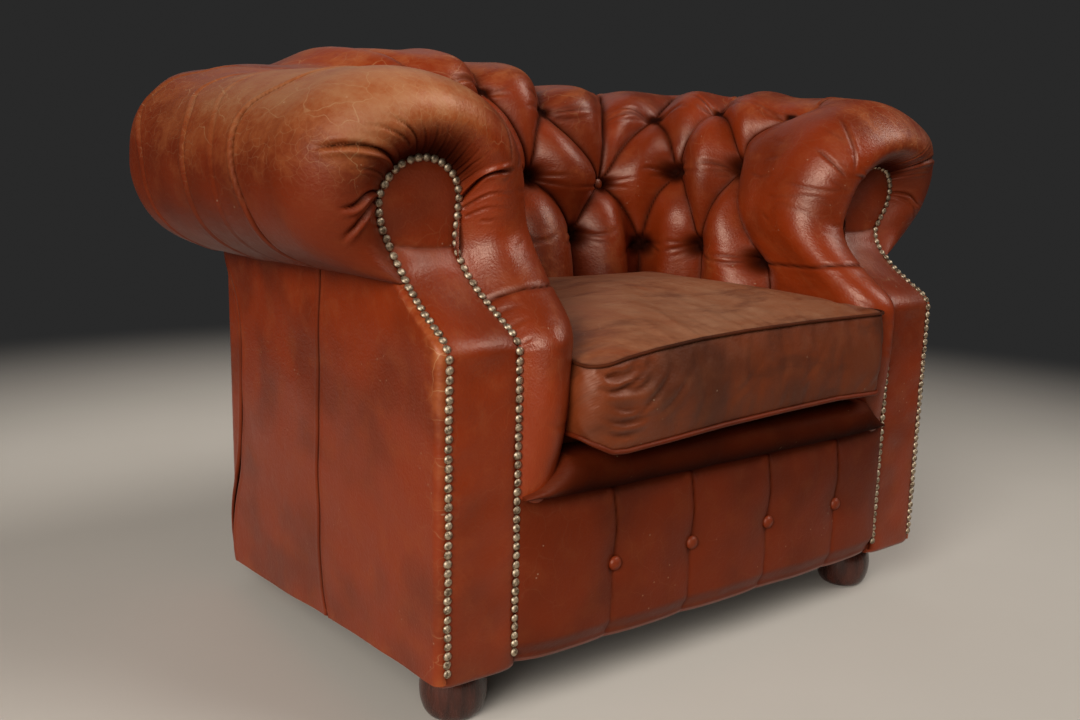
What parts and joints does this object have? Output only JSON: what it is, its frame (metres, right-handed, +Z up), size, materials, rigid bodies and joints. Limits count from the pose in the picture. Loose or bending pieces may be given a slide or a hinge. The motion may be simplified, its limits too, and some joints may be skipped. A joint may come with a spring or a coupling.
{
  "type": "worn club chair",
  "caption": "Low-backed club chair in worn tan leather: deep-buttoned wrap-round roll, nailed scroll arm fronts, loose seat cushion, buttoned front panel and short bun feet.",
  "frame": {"origin": "on the floor, under the middle of the chair's box", "axes": "+Z up, the seat faces -Y, +X towards the sitter's left arm"},
  "size_m": [1.03, 0.73, 0.765],
  "materials": {
    "leather": "waxed and worn, glossy on the high spots",
    "cushion_leather": "darker, rubbed and wrinkled",
    "beech": "unfinished frame timber",
    "stained_hardwood": "dark stained and polished",
    "spring_steel": "dull",
    "nail_brass": "pale, tarnished nail heads, drawn in the visual model only",
    "dust_cloth": "thin black cloth"
  },
  "bodies": {
    "root": {"apron_button_1": "leather", "apron_button_2": "leather", "apron_button_3": "leather", "apron_button_4": "leather", "arm_facing_left": "leather", "arm_facing_right": "leather", "arm_pad_left": "leather", "arm_pad_right": "leather", "arm_post_left": "beech", "arm_post_right": "beech", "arm_tacking_rail_left": "beech", "arm_tacking_rail_right": "beech", "arm_top_rail_left": "beech", "arm_top_rail_right": "beech", "back_pad": "leather", "back_post_left": "beech", "back_post_right": "beech", "back_tacking_rail": "beech", "back_top_rail": "beech", "back_upright": "beech", "corner_block_front_left": "beech", "corner_block_front_right": "beech", "corner_block_rear_left": "beech", "corner_block_rear_right": "beech", "dust_cover": "dust_cloth", "foot_bolt_front_left": "spring_steel", "foot_bolt_front_right": "spring_steel", "foot_bolt_rear_left": "spring_steel", "foot_bolt_rear_right": "spring_steel", "foot_front_left": "stained_hardwood", "foot_front_right": "stained_hardwood", "foot_rear_left": "stained_hardwood", "foot_rear_right": "stained_hardwood", "front_apron": "leather", "front_rail": "beech", "rear_panel": "leather", "rear_rail": "beech", "seat_cushion": "cushion_leather", "seat_deck": "leather", "seat_spring_1": "spring_steel", "seat_spring_2": "spring_steel", "seat_spring_3": "spring_steel", "seat_spring_4": "spring_steel", "side_panel_left": "leather", "side_panel_right": "leather", "side_rail_left": "beech", "side_rail_right": "beech", "tuft_button_1": "leather", "tuft_button_2": "leather", "tuft_button_3": "leather", "tuft_button_4": "leather", "tuft_button_5": "leather", "tuft_button_6": "leather", "tuft_button_7": "leather"}
  },
  "joints": []
}
